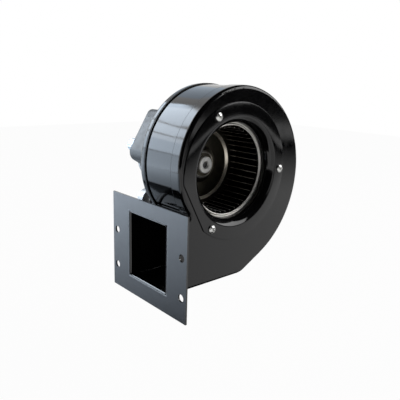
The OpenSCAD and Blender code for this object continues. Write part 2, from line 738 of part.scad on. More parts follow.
// Triangles of a tube of rings with the given number of sides, closed on itself or capped
function loop_faces(rings, sides, closed) = concat(
    [for (i = [0:rings - (closed ? 1 : 2)], j = [0:sides - 1])
        let (a = i * sides, b = ((i + 1) % rings) * sides, k = (j + 1) % sides)
        each [[a + j, b + j, b + k], [a + j, b + k, a + k]]],
    closed ? [] : [for (j = [1:sides - 2]) [0, j, j + 1]],
    closed ? [] : [for (j = [1:sides - 2]) let (a = (rings - 1) * sides) [a, a + j + 1, a + j]]);

// ---- stator of the motor ----
BOSS_WALL = 4;               // metal round the bearings
COVER_ROOM = 1.5;            // room round that metal in the rear cover
BOSS_GAP = 2;                // from the housing's back to the front shield's boss
END_EXTRA = 4;               // how much wider than the arm its round end is on each side
motor_boss_r = BEARING_R + BOSS_WALL;
boss_front = housing_depth + BOSS_GAP;
arm_end_r = arm_w / 2 + END_EXTRA;
SHAFT_ROOM = 2;              // radial room round the shaft in front of the bearing
BOSS_EDGE = 2;               // bevel of the rear shield's boss
BOLT_ROOM = 1;               // between a through bolt and the can
bolt_circle_r = can_r - can_wall - THROUGH_BOLT_D / 2 - BOLT_ROOM;
module bolt_holes(from, to, r) {
    for (a = [90, 270]) rotate([0, 0, a]) translate([bolt_circle_r, 0, from])
        cylinder(r = r, h = to - from);
}
module motor_front_shield() {
    color("#c6c9cb") inlet_view() difference() {
        union() {
            slab(arm_front, can_front) {
                circle(can_r);
                round_axis(arm_count, arm_turn) {
                    translate([0, -arm_w / 2]) square([stud_circle_r, arm_w]);
                    translate([stud_circle_r, 0]) circle(arm_end_r);
                }
            }
            slab(boss_front, arm_front) circle(motor_boss_r);
            slab(can_front, can_front + REGISTER_L) circle(register_r);
        }
        translate([0, 0, can_front]) cylinder(r = register_r - REGISTER_WALL, h = REGISTER_L + THROUGH);
        translate([0, 0, front_bearing - slip])
            cylinder(r = BEARING_R + HAIR, h = can_front + THROUGH - front_bearing);
        translate([0, 0, boss_front - THROUGH])
            cylinder(r = shaft_d / 2 + SHAFT_ROOM, h = can_front - boss_front + 2 * THROUGH);
        round_axis(arm_count, arm_turn) translate([stud_circle_r, 0, arm_front - THROUGH])
            cylinder(r = stud_d / 2 + screw_clear, h = arm_t + 2 * THROUGH);
        bolt_holes(arm_front - THROUGH, can_front + REGISTER_L + THROUGH, THROUGH_BOLT_D / 2 + HAIR);
    }
}
module motor_can() {
    color("#33373b") inlet_view() difference() {
        slab(can_front + HAIR, can_back - HAIR) difference() {
            circle(can_r);
            circle(can_r - can_wall);
        }
        box_screw_holes();
    }
}
module field_magnets() {
    color("#3f3b3a") inlet_view() for (a = [0, 180]) rotate([0, 0, a - magnet_arc / 2])
        translate([0, 0, magnet_front]) rotate_extrude(angle = magnet_arc)
        translate([magnet_in, 0]) square([magnet_t, magnet_l]);
}
module motor_rear_shield() {
    color("#c6c9cb") inlet_view() difference() {
        union() {
            slab(can_back, can_back + SHIELD_T) circle(can_r);
            slab(can_back - REGISTER_L, can_back) circle(register_r);
            translate([0, 0, can_back + SHIELD_T]) turned() polygon([
                [0, 0], [motor_boss_r + BOSS_EDGE, 0], [motor_boss_r, rear_boss_l - BOSS_EDGE],
                [motor_boss_r - BOSS_EDGE, rear_boss_l], [0, rear_boss_l]]);
        }
        translate([0, 0, can_back - REGISTER_L - THROUGH])
            cylinder(r = register_r - REGISTER_WALL, h = REGISTER_L + THROUGH);
        translate([0, 0, can_back - THROUGH])
            cylinder(r = BEARING_R + HAIR, h = rear_bearing + BEARING_W + POCKET_L - can_back + THROUGH);
        bolt_holes(can_back - REGISTER_L - THROUGH, can_back + SHIELD_T + THROUGH,
                   THROUGH_BOLT_D / 2 + screw_clear);
    }
}
POCKET_L = 1.4;              // room behind the rear bearing for the wave washer
REAR_END_T = 2;              // metal behind that room
rear_boss_l = rear_bearing + BEARING_W + POCKET_L + REAR_END_T - can_back - SHIELD_T;
module through_bolts() {
    color("#c9cbcc") inlet_view() {
        bolt_holes(arm_front + TIP_ROOM, can_back + SHIELD_T, THROUGH_BOLT_D / 2);
        for (a = [90, 270]) rotate([0, 0, a]) translate([bolt_circle_r, 0, can_back + SHIELD_T + HAIR])
            cylinder(r = 0.9 * THROUGH_BOLT_D, h = 0.7 * THROUGH_BOLT_D, $fn = 6);
    }
}

// ---- brushes ----
module at_brushes() {
    for (a = [0, 180]) rotate([0, 0, a]) translate([0, 0, brush_z]) children();
}
module brush_plate() {
    color("#6b4a2c") inlet_view() slab(plate_front, plate_front + plate_t) difference() {
        circle(register_r - REGISTER_WALL - slip);
        circle(commutator_r + COMMUTATOR_ROOM);
        for (a = [90, 270]) rotate([0, 0, a]) translate([bolt_circle_r, 0])
            circle(THROUGH_BOLT_D / 2 + 2 * screw_clear);
    }
}
COMMUTATOR_ROOM = 2;         // radial room round the commutator
module holder_block(from, to, round) {
    translate([from, -brush_w / 2 - round, -brush_h / 2 - round])
        cube([to - from, brush_w + 2 * round, brush_h + 2 * round]);
}
module brush_holders() {
    color("#c2a14a") inlet_view() at_brushes() difference() {
        holder_block(commutator_r + COMMUTATOR_ROOM, holder_end, slip + HOLDER_WALL);
        holder_block(commutator_r, holder_end - HOLDER_WALL, slip);
    }
}
module carbon_brushes() {
    color("#2a2a2c") inlet_view() at_brushes() difference() {
        holder_block(commutator_r - THROUGH, commutator_r + brush_l, 0);
        translate([0, 0, -brush_h]) cylinder(r = brush_start, h = 2 * brush_h);
    }
}
SPRING_WIRE_R = 0.35;
SPRING_R = 2.3;
SPRING_TURNS = 5;
SPRING_RINGS = 70;
SPRING_SIDES = 6;
module brush_springs() {
    from = commutator_r + brush_l + SPRING_WIRE_R + slip;
    rise = holder_end - HOLDER_WALL - slip - SPRING_WIRE_R - from;
    points = [for (i = [0:SPRING_RINGS - 1], j = [0:SPRING_SIDES - 1])
        let (s = i / (SPRING_RINGS - 1), a = 360 * SPRING_TURNS * s)
        let (b = 360 * j / SPRING_SIDES, r = SPRING_R + SPRING_WIRE_R * cos(b))
        [from + rise * s + SPRING_WIRE_R * sin(b), r * cos(a), r * sin(a)]];
    color("#b5b7b9") inlet_view() at_brushes()
        polyhedron(points, loop_faces(SPRING_RINGS, SPRING_SIDES, false));
}

// ---- motor mounting ----
WASHER_T = 1;
STUD_HEAD_H = 1.5;
STUD_TIP = 1;                // a stud's thread past its nut
stud_nut_h = 0.8 * stud_d;
module at_studs(z) {
    round_axis(arm_count, arm_turn) translate([stud_circle_r, 0, z]) children();
}
module mount_studs() {
    color("#c9cbcc") inlet_view() at_studs(housing_depth - cover_sheet - slip / 2 - STUD_HEAD_H) {
        cylinder(r = 0.85 * stud_d, h = STUD_HEAD_H);
        cylinder(d = stud_d,
                 h = STUD_HEAD_H + cover_sheet + arm_gap + arm_t + WASHER_T + stud_nut_h + STUD_TIP);
    }
}
module rubber_mounts() {
    color("#101011") inlet_view() at_studs(housing_depth + slip / 2) turned() difference() {
        translate([stud_d / 2 + slip, 0]) square([MOUNT_R - stud_d / 2 - slip, arm_gap - slip]);
        translate([MOUNT_R + WAIST_R - WAIST_DEPTH, (arm_gap - slip) / 2]) circle(WAIST_R);
    }
}
MOUNT_R = 8;
WAIST_R = 2.6;               // groove round a rubber mount
WAIST_DEPTH = 1.1;
module mount_washers() {
    color("#c9cbcc") inlet_view() at_studs(can_front + HAIR) difference() {
        cylinder(r = 1.1 * stud_d, h = WASHER_T);
        translate([0, 0, -THROUGH]) cylinder(r = stud_d / 2 + screw_clear, h = WASHER_T + 2 * THROUGH);
    }
}
module mount_nuts() {
    color("#c9cbcc") inlet_view() at_studs(can_front + WASHER_T + 2 * HAIR)
        hex_nut(stud_d + 2 * HAIR, 1.6 * stud_d, stud_nut_h);
}

// ---- terminal box: x goes outwards from the motor and y along the box ----
FOOT_DEPTH = 8.5;            // how far the box's saddle reaches down beside the can
box_foot_r = floor_r - FOOT_DEPTH;
cap_from = box_high + slip;
cap_to = box_high + cap_l;
BOX_SCREW_D = 3;
BOX_SCREW_INSET = 6.5;       // from the box's front to its first screw
SCREW_TO_THREAD = 4.5;       // from its second screw to the gland's thread
box_screw_depths = [box_front + BOX_SCREW_INSET, box_back - THREAD_L - SCREW_TO_THREAD];
module box_view() {
    rotate([0, 0, box_turn]) children();
}
module box_screw_holes() {
    for (z = box_screw_depths) box_view() translate([can_r - can_wall - THROUGH, 0, z]) rotate([0, 90, 0])
        cylinder(r = BOX_SCREW_D / 2 + HAIR, h = floor_r - can_r + can_wall + 2 * THROUGH);
}
// Body of the box between two heights, with one rounded corner of radius r at its lower end
module box_body_outline(inset, r) {
    low = -box_low + inset;
    top = box_top - inset;
    foot = inset > 0 ? floor_r : box_foot_r;
    translate([foot, low]) square([top - r - foot, box_high - low + inset]);
    translate([top - r - THROUGH, low + r]) square([r + THROUGH, box_high - low - r + inset]);
    intersection() {
        translate([top - r, low + r]) circle(r);
        translate([foot, low]) square([top - foot, r + THROUGH]);
    }
}
module box_cap_outline(inset, r) {
    foot = inset > 0 ? floor_r : box_foot_r;
    top = box_top - inset;
    high = cap_to - inset;
    translate([foot, cap_from - inset]) square([top - r - foot, high - cap_from + inset]);
    translate([top - r - THROUGH, cap_from - inset]) square([r + THROUGH, high - r - cap_from + inset]);
    intersection() {
        translate([top - r, high - r]) circle(r);
        translate([foot, high - r - THROUGH]) square([top - foot, r + THROUGH]);
    }
}
module terminal_box() {
    color("#5d6563") inlet_view() difference() {
        box_view() difference() {
            slab(box_front, box_back) box_body_outline(0, box_corner_r);
            slab(box_front + box_wall, box_back - box_wall)
                box_body_outline(box_wall, box_corner_r - box_wall);
            translate([gland_at[0], gland_at[1], box_back - box_wall - THROUGH])
                cylinder(r = THREAD_R + HAIR, h = box_wall + 2 * THROUGH);
            for (z = cap_screw_depths) translate([cap_screw_r, box_high - CAP_SCREW_GRIP, z])
                rotate([-90, 0, 0]) cylinder(r = CAP_SCREW_D / 2 + HAIR, h = CAP_SCREW_GRIP + THROUGH);
        }
        translate([0, 0, box_front - THROUGH]) cylinder(r = can_r + slip, h = box_depth + 2 * THROUGH);
        box_screw_holes();
    }
}
CAP_SCREW_D = 3;
CAP_SCREW_INSET = 7;         // from the box's faces to the cap's screws
CAP_SCREW_GRIP = 7;
CAP_HEAD_H = 2;
cap_screw_r = (box_foot_r + floor_r) / 2;
HEAD_RECESS = 1;             // depth of a cap screw's head under the cap's end
TIP_ROOM = 1;                // room in front of a cap screw's tip
cap_screw_depths = [box_front + CAP_SCREW_INSET, box_back - CAP_SCREW_INSET];
module terminal_box_cap() {
    color("#34363a") inlet_view() box_view() difference() {
        slab(box_front, box_back) box_cap_outline(0, cap_corner_r);
        slab(box_front + box_wall, box_back - box_wall) box_cap_outline(box_wall, cap_corner_r - box_wall);
        for (z = cap_screw_depths) translate([cap_screw_r, cap_to + THROUGH, z]) rotate([90, 0, 0]) {
            cylinder(r = CAP_SCREW_D / 2 + screw_clear, h = cap_l + 2 * THROUGH);
            cylinder(r = 1.1 * CAP_SCREW_D, h = THROUGH + HEAD_RECESS + CAP_HEAD_H);
        }
    }
}
module cap_screws() {
    color("#c9cbcc") inlet_view() box_view() for (z = cap_screw_depths)
        translate([cap_screw_r, cap_to - HEAD_RECESS + HAIR, z]) rotate([90, 0, 0])
        slotted_screw(CAP_SCREW_D, head_r(CAP_SCREW_D), CAP_HEAD_H,
                        cap_l - CAP_HEAD_H - HEAD_RECESS + CAP_SCREW_GRIP - TIP_ROOM);
}
module box_screws() {
    color("#c9cbcc") inlet_view() box_view() for (z = box_screw_depths)
        translate([floor_r + HAIR + CAP_HEAD_H, 0, z]) rotate([0, -90, 0])
        slotted_screw(BOX_SCREW_D, head_r(BOX_SCREW_D), CAP_HEAD_H,
                        floor_r - can_r + can_wall - 2 * slip);
}
BLOCK_WELL_R = 1.6;          // wells over its screws
BLOCK_WELL_L = 6;
module terminal_block() {
    color("#d8d2c0") inlet_view() box_view()
        translate([floor_r + HAIR, block_along, (box_front + box_back - BLOCK_SIZE[2]) / 2]) difference() {
            cube(BLOCK_SIZE);
            for (i = [0:BLOCK_POLES - 1], k = [1, 3])
                translate([BLOCK_SIZE[0] - BLOCK_WELL_L, (i + 0.5) * BLOCK_PITCH, k * BLOCK_SIZE[2] / 4])
                rotate([0, 90, 0]) cylinder(r = BLOCK_WELL_R, h = BLOCK_WELL_L + THROUGH);
        }
}
HEX_R = 10.6;                // to a corner of the gland's hexagon
CABLE_ROOM = 1;              // room round the cable outside the seal
NUT_WALL = 1.3;              // wall of the gland's nut round its neck
NECK_WALL = 1.2;             // wall of that neck round the seal
GLAND_NECK_L = 8;
SEAL_OVER = 2;               // how far the seal stands out of the neck
gland_neck_r = gland_r - NUT_WALL;
seal_r = gland_neck_r - NECK_WALL;
module at_gland(z) {
    box_view() translate([gland_at[0], gland_at[1], z]) children();
}
module cable_gland() {
    color("#d2d3d2") inlet_view() at_gland(box_back - THREAD_L) difference() {
        union() {
            cylinder(r = THREAD_R, h = THREAD_L);
            translate([0, 0, THREAD_L + HAIR]) cylinder(r = HEX_R, h = HEX_H, $fn = 6);
            cylinder(r = gland_neck_r, h = THREAD_L + HEX_H + GLAND_NECK_L);
        }
        translate([0, 0, -THROUGH])
            cylinder(r = cable_r + CABLE_ROOM, h = THREAD_L + HEX_H + GLAND_NECK_L + 2 * THROUGH);
        translate([0, 0, THREAD_L + HEX_H]) cylinder(r = seal_r + HAIR, h = GLAND_NECK_L + THROUGH);
    }
}
seal_l = GLAND_NECK_L + SEAL_OVER;
module gland_seal() {
    color("#1a1a1b") inlet_view() at_gland(box_back + HEX_H + HAIR) difference() {
        cylinder(r = seal_r, h = seal_l);
        translate([0, 0, -THROUGH]) cylinder(r = cable_r, h = seal_l + 2 * THROUGH);
    }
}
DOME_R = 3.5;                // rounding of the gland nut's end
FLUTES = 12;
FLUTE_R = 1.4;
FLUTE_DEPTH = 0.5;
FLUTE_FROM = 2;
module gland_nut() {
    color("#d2d3d2") inlet_view() at_gland(box_back + HEX_H + 3 * HAIR) difference() {
        turned() {
            square([gland_r, gland_l - DOME_R]);
            square([gland_r - DOME_R, gland_l]);
            translate([gland_r - DOME_R, gland_l - DOME_R]) intersection() {
                circle(DOME_R, $fn = CORNER_FN);
                square(DOME_R);
            }
        }
        translate([0, 0, -THROUGH]) {
            cylinder(r = gland_neck_r + HAIR, h = THROUGH + GLAND_NECK_L + 2 * slip);
            cylinder(r = seal_r + HAIR, h = THROUGH + seal_l + 2 * slip);
            cylinder(r = cable_r + CABLE_ROOM, h = gland_l + 2 * THROUGH);
        }
        round_axis(FLUTES) translate([gland_r + FLUTE_R - FLUTE_DEPTH, 0, FLUTE_FROM])
            cylinder(r = FLUTE_R, h = gland_l);
    }
}

front_cover();
scroll_wrap();
rear_cover();
seam_seal();
outlet_flange();
inlet_plate();
inlet_screws();
clinch_nuts();
wheel_blades();
wheel_front_ring();
wheel_back_disc();
wheel_hub();
hub_set_screw();
motor_shaft();
armature_core();
armature_windings();
commutator();
bearing_inner_rings();
bearing_balls();
bearing_cages();
bearing_outer_rings();
wave_washer();
motor_front_shield();
motor_can();
field_magnets();
motor_rear_shield();
through_bolts();
brush_plate();
brush_holders();
carbon_brushes();
brush_springs();
mount_studs();
rubber_mounts();
mount_washers();
mount_nuts();
terminal_box();
terminal_box_cap();
cap_screws();
box_screws();
terminal_block();
cable_gland();
gland_nut();
gland_seal();
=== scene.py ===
import json
import math

import bmesh
import bpy
from mathutils import Matrix, Vector


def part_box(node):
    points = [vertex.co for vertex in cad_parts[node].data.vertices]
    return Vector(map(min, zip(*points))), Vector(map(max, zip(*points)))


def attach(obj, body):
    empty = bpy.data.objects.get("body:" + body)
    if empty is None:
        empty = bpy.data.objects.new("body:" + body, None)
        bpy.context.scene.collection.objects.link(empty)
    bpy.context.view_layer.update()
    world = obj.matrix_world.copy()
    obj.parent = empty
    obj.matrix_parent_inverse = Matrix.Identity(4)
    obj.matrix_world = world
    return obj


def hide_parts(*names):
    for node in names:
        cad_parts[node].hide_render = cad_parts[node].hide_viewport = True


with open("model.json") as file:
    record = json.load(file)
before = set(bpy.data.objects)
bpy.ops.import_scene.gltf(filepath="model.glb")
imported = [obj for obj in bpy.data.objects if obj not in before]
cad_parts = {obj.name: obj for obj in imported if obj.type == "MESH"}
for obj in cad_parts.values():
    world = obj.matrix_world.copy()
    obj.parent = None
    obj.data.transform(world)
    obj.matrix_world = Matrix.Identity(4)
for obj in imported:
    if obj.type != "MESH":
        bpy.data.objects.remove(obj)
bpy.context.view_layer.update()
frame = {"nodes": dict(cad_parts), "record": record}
HOUSING, WHEEL = "housing", "wheel_and_armature"
JOINTS = frame["record"]["behaviour"]["joints"]
AXIS = Vector(next(j["pos_m"] for j in JOINTS if j["name"] == "wheel_spin"))     # it runs along Y

# The outlet's opening: its centre and its half sizes, in metres like every length here
OUTLET_Y, OUTLET_Z = 0.0, 0.01105
OPEN_HALF_W, OPEN_HALF_H = 0.0339, 0.03755


# ---- nodes for materials ----
def principled(name):
    m = bpy.data.materials.new(name)
    m.use_nodes = True
    return m, m.node_tree, m.node_tree.nodes["Principled BSDF"]


def bare_material(name):
    """A material with no nodes yet, and its tree."""
    m = bpy.data.materials.new(name)
    m.use_nodes = True
    m.node_tree.nodes.clear()
    return m, m.node_tree


def plug(tree, value, socket):
    """Sets a socket to a number or colour, or links it to the socket that gives its value."""
    if isinstance(value, bpy.types.NodeSocket):
        tree.links.new(value, socket)
    else:
        socket.default_value = value


def math_node(tree, operation, *inputs):
    node = tree.nodes.new("ShaderNodeMath")
    node.operation = operation
    for socket, value in zip(node.inputs, inputs):
        plug(tree, value, socket)
    return node.outputs[0]


# A Mix node's two inputs and its result, for numbers and for colours
MIX_SOCKETS = {"FLOAT": (2, 3, 0), "RGBA": (6, 7, 2)}


def blend(tree, kind, fac, first, second):
    """The first value where fac is 0, and the second where it is 1."""
    node = tree.nodes.new("ShaderNodeMix")
    node.data_type = kind
    a, b, result = MIX_SOCKETS[kind]
    tree.links.new(fac, node.inputs[0])
    plug(tree, first, node.inputs[a])
    plug(tree, second, node.inputs[b])
    return node.outputs[result]


def object_point(tree):
    """The point in object space: the CAD's own space on the blower, and a card's own on a card."""
    return tree.nodes.new("ShaderNodeTexCoord").outputs["Object"]


def coordinate(tree, axis):
    split = tree.nodes.new("ShaderNodeSeparateXYZ")
    tree.links.new(object_point(tree), split.inputs[0])
    return split.outputs[axis]


def noise(tree, scale, detail=3.0):
    """A noise texture in object space; scale is in features per metre."""
    tex = tree.nodes.new("ShaderNodeTexNoise")
    tex.inputs["Scale"].default_value = scale
    tex.inputs["Detail"].default_value = detail
    tree.links.new(object_point(tree), tex.inputs["Vector"])
    return tex.outputs["Fac"]


def ramp(tree, fac, stops):
    """A colour ramp with two stops."""
    node = tree.nodes.new("ShaderNodeValToRGB")
    for element, (at, colour) in zip(node.color_ramp.elements, stops):
        element.position = at
        element.color = (*colour, 1)
    tree.links.new(fac, node.inputs["Fac"])
    return node.outputs["Color"]


def map_range(tree, value, from_low, from_high, to_low=0.0, to_high=1.0, smooth=False):
    node = tree.nodes.new("ShaderNodeMapRange")
    if smooth:
        node.interpolation_type = "SMOOTHSTEP"
    node.inputs["From Min"].default_value = from_low
    node.inputs["From Max"].default_value = from_high
    node.inputs["To Min"].default_value = to_low
    node.inputs["To Max"].default_value = to_high
    tree.links.new(value, node.inputs["Value"])
    return node.outputs["Result"]


def step(tree, value, low, high):
    """0 below low and 1 above high, or the reverse where low is the higher one."""
    return map_range(tree, value, low, high, smooth=True)


def band(tree, value, low, high, soft=0.0004):
    """1 between low and high and 0 outside, with edges that blend over twice the soft length."""
    return math_node(tree, "MULTIPLY",
                     step(tree, value, low - soft, low + soft),
                     step(tree, value, high + soft, high - soft))


def bump(tree, fac, strength, distance):
    node = tree.nodes.new("ShaderNodeBump")
    node.inputs["Strength"].default_value = strength
    node.inputs["Distance"].default_value = distance
    tree.links.new(fac, node.inputs["Height"])
    return node.outputs["Normal"]


def axis_radius(tree):
    """Distance from the wheel's axis."""
    flat = tree.nodes.new("ShaderNodeMapping")
    flat.vector_type = "TEXTURE"
    flat.inputs["Location"].default_value = (AXIS.x, 0, AXIS.z)
    tree.links.new(object_point(tree), flat.inputs["Vector"])
    keep = tree.nodes.new("ShaderNodeVectorMath")
    keep.operation = "MULTIPLY"
    keep.inputs[1].default_value = (1, 0, 1)
    tree.links.new(flat.outputs["Vector"], keep.inputs[0])
    length = tree.nodes.new("ShaderNodeVectorMath")
    length.operation = "LENGTH"
    tree.links.new(keep.outputs["Vector"], length.inputs[0])
    return length.outputs["Value"]


def outlet_distance(tree):
    """Distance outside the outlet's rectangle, as seen along X."""
    sides = []
    for axis, centre, half in (("Y", OUTLET_Y, OPEN_HALF_W), ("Z", OUTLET_Z, OPEN_HALF_H)):
        offset = math_node(tree, "SUBTRACT", coordinate(tree, axis), centre)
        sides.append(math_node(tree, "SUBTRACT", math_node(tree, "ABSOLUTE", offset), half))
    return math_node(tree, "MAXIMUM", *sides)


# ---- finishes ----
NOISE_LOW, NOISE_HIGH = 0.3, 0.7      # nearly all of the noise lies between these


def shade(colour, k):
    return tuple(min(1.0, c * k) for c in colour)


def finish(name, colour, rough, metal=0.0, vary=0.12, patch=40, grain=900, depth=0.00002,
           strength=0.2, rough_vary=0.05, specular=0.5):
    """A surface with patches in its colour, finer ones in its gloss, and a fine grain as relief."""
    m, tree, p = principled(name)
    tones = [(NOISE_LOW, shade(colour, 1 - vary)), (NOISE_HIGH, shade(colour, 1 + vary))]
    tree.links.new(ramp(tree, noise(tree, patch), tones), p.inputs["Base Color"])
    gloss = map_range(tree, noise(tree, patch * 3), NOISE_LOW, NOISE_HIGH,
                      rough - rough_vary, rough + rough_vary)
    tree.links.new(gloss, p.inputs["Roughness"])
    tree.links.new(bump(tree, noise(tree, grain, 2.0), strength, depth), p.inputs["Normal"])
    p.inputs["Metallic"].default_value = metal
    p.inputs["Specular IOR Level"].default_value = specular
    return m


def zone(m, where, colour, rough):
    """Mixes another colour and roughness into a finish where what where() makes is 1."""
    tree = m.node_tree
    p = tree.nodes["Principled BSDF"]
    fac = where(tree)
    for kind, name, value in (("RGBA", "Base Color", (*colour, 1)), ("FLOAT", "Roughness", rough)):
        below = p.inputs[name].links[0].from_socket
        tree.links.new(blend(tree, kind, fac, below, value), p.inputs[name])


# The housing: gloss black, with a painted line of shade, darker and dull, where the front cover's skirt ends
# on the wrap
paint = finish("black_gloss_paint", (0.0045, 0.0045, 0.005), 0.1, vary=0.1, grain=240,
               depth=0.00003, strength=0.05, rough_vary=0.02)
wrap_paint = finish("black_wrap_paint", (0.005, 0.005, 0.007), 0.09, grain=160, depth=0.00004,
                    strength=0.07, rough_vary=0.03)
seal = finish("black_sealant", (0.004, 0.004, 0.004), 0.6, grain=700, depth=0.0001, strength=0.4)
skirt_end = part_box("front_cover")[1][1]
SEAM_SHADE_LINE = (skirt_end - 0.0004, skirt_end + 0.0005, 0.0002)         # from, to and softness, along Y
# painted shade: a darker, dull band along the skirt's edge, on both gloss paints
for glossy in (paint, wrap_paint):
    zone(glossy, lambda tree: band(tree, coordinate(tree, "Y"), *SEAM_SHADE_LINE), (0.002, 0.002, 0.002), 0.7)

# The flange: a grey face, black behind it as painted shade inside the neck, and a painted highlight, a bright
# band, where it turns into the neck
NECK_SHADE_DEPTH = (0.00004, 0.00025)        # the depth in which the grey ends and the black painted shade inside the neck begins
LIP_HIGHLIGHT = (0.0024, 0.0031, 0.0002)       # from and to this far outside the opening, and softness
flange_paint = finish("grey_satin_paint", (0.046, 0.050, 0.060), 0.33, vary=0.1, grain=1800,
                      strength=0.12, specular=0.9)
# painted shade: everything behind the face, inside the neck, is gloss black
zone(flange_paint, lambda tree: step(tree, coordinate(tree, "X"), *NECK_SHADE_DEPTH),
     (0.003, 0.003, 0.003), 0.12)
# painted highlight: a bright band all round the opening, just outside the neck
zone(flange_paint, lambda tree: band(tree, outlet_distance(tree), *LIP_HIGHLIGHT), (0.30, 0.32, 0.36), 0.2)

# The wheel: galvanised sheet painted dark as shade inside the housing, with painted highlights on the blades'
# inner edges, on the disc's slope and on the hub's rim
BLADE_INNER, EDGE_FADE, EDGE_BRIGHT = 0.0494, 0.0007, 0.0002
DISH_SLOPE_HIGHLIGHT, HUB_RIM_HIGHLIGHT = (0.0412, 0.0446), (0.0148, 0.0172)             # radii, from and to
# painted shade: the blades are made near black, as dark as the inside of the housing
blade_shade_and_highlight = finish("blades_painted_shade_and_highlight", (0.03, 0.028, 0.026), 0.38, 0.9, vary=0.4, patch=120)
# painted highlight: a bright line along the blades' inner edges
zone(blade_shade_and_highlight,
     lambda tree: step(tree, axis_radius(tree), BLADE_INNER + EDGE_FADE, BLADE_INNER + EDGE_BRIGHT),
     (0.62, 0.6, 0.57), 0.3)
# painted shade: the disc is made dark, as dark as the inside of the wheel
disc_shade_and_highlights = finish("disc_painted_shade_and_highlights", (0.05, 0.046, 0.034), 0.34, 0.9, vary=0.4, patch=70, grain=600)
# painted highlights: bright bands all round on the dish's slope and on the hub's rim
zone(disc_shade_and_highlights, lambda tree: band(tree, axis_radius(tree), *DISH_SLOPE_HIGHLIGHT), (0.86, 0.80, 0.68), 0.32)
zone(disc_shade_and_highlights, lambda tree: band(tree, axis_radius(tree), *HUB_RIM_HIGHLIGHT), (0.74, 0.72, 0.68), 0.3)
ring_zinc = finish("spun_zinc", (0.86, 0.84, 0.79), 0.42, 0.5, vary=0.1, patch=60, grain=700, strength=0.1)
hub_metal = finish("turned_hub", (0.88, 0.88, 0.85), 0.42, 0.4, vary=0.1, patch=200, grain=2500)

# The motor, its box and the fasteners
zinc = finish("bright_zinc", (0.76, 0.76, 0.74), 0.26, 0.9, patch=90, grain=1500, strength=0.15)
dark_steel = finish("dark_steel", (0.12, 0.12, 0.125), 0.4, 1.0)
ground_steel = finish("ground_steel", (0.6, 0.6, 0.61), 0.25, 1.0)
# the shaft's end is made as dark as the hub's bore around it
shaft_steel = finish("darkened_shaft", (0.09, 0.09, 0.09), 0.35, 0.9, patch=300)
copper = finish("copper", (0.78, 0.42, 0.24), 0.3, 1.0)
brass = finish("brass", (0.72, 0.58, 0.3), 0.3, 1.0)
cast = finish("cast_aluminium", (0.58, 0.59, 0.60), 0.45, 0.6, vary=0.1, patch=150, grain=1600,
              depth=0.00008, strength=0.35)
motor_paint = finish("black_motor_paint", (0.012, 0.012, 0.014), 0.3, strength=0.15)
ferrite = finish("ferrite", (0.05, 0.048, 0.046), 0.7)
phenolic = finish("phenolic", (0.2, 0.1, 0.045), 0.5, grain=500)
carbon = finish("carbon", (0.02, 0.02, 0.021), 0.55)
pale_rubber = finish("pale_rubber", (0.66, 0.67, 0.66), 0.55, grain=1200, depth=0.00006, strength=0.3)
rubber = finish("rubber", (0.012, 0.012, 0.012), 0.65, grain=1200, depth=0.00006, strength=0.3)
box_paint = finish("grey_box_paint", (0.040, 0.046, 0.046), 0.34, grain=1400, strength=0.15)
cap_plastic = finish("charcoal_plastic", (0.014, 0.015, 0.018), 0.42, grain=1500, depth=0.00008,
                     strength=0.4)
cream = finish("cream_plastic", (0.66, 0.6, 0.46), 0.4)
# nickel plate with its colour tinted blue and darkened: a painted cool reflection
cool_tinted_nickel = finish("nickel_plate_cool_tint", (0.38, 0.43, 0.47), 0.22, 0.85, vary=0.06, grain=600, strength=0.08)

LOOKS = {
    paint: "front_cover rear_cover inlet_plate",
    wrap_paint: "scroll_wrap",
    seal: "seam_seal",
    flange_paint: "outlet_flange",
    zinc: "inlet_screws clinch_nuts through_bolts mount_studs mount_washers mount_nuts cap_screws box_screws",
    ring_zinc: "wheel_front_ring",
    blade_shade_and_highlight: "wheel_blades",
    disc_shade_and_highlights: "wheel_back_disc",
    hub_metal: "wheel_hub",
    dark_steel: "hub_set_screw armature_core",
    shaft_steel: "motor_shaft",
    ground_steel: "bearing_inner_rings bearing_balls bearing_outer_rings wave_washer brush_springs",
    copper: "armature_windings commutator",
    brass: "bearing_cages brush_holders",
    cast: "motor_front_shield motor_rear_shield",
    motor_paint: "motor_can",
    ferrite: "field_magnets",
    phenolic: "brush_plate",
    carbon: "carbon_brushes",
    pale_rubber: "rubber_mounts",
    rubber: "gland_seal",
    box_paint: "terminal_box",
    cap_plastic: "terminal_box_cap",
    cream: "terminal_block",
    cool_tinted_nickel: "cable_gland gland_nut",
}
for look, names in LOOKS.items():
    for n in names.split():
        node = frame["nodes"][n]
        node.data.materials.clear()
        node.data.materials.append(look)


# ---- pieces ----
MERGE = 1e-7                          # points nearer than this are one


def added(name, data):
    """A new object of the scene that shows the given data."""
    o = bpy.data.objects.new(name, data)
    bpy.context.collection.objects.link(o)
    return o


def built(name, bm, look, body, replaced, sharp):
    """A mesh object from bmesh data that rides on a body and stands for the given CAD nodes."""
    bmesh.ops.remove_doubles(bm, verts=bm.verts, dist=MERGE)
    bmesh.ops.recalc_face_normals(bm, faces=bm.faces)
    mesh = bpy.data.meshes.new(name)
    bm.to_mesh(mesh)
    bm.free()
    mesh.shade_smooth()
    mesh.set_sharp_from_angle(angle=math.radians(sharp))
    mesh.materials.append(look)
    o = added(name, mesh)
    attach(o, body)
    if replaced:
        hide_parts(*replaced)
    return o


def arc(at, r, start, end, count):
    """Points on an arc in the profile plane, with the angles in degrees."""
    turns = [math.radians(start + (end - start) * i / count) for i in range(count + 1)]
    return [(at[0] + r * math.cos(t), at[1] + r * math.sin(t)) for t in turns]


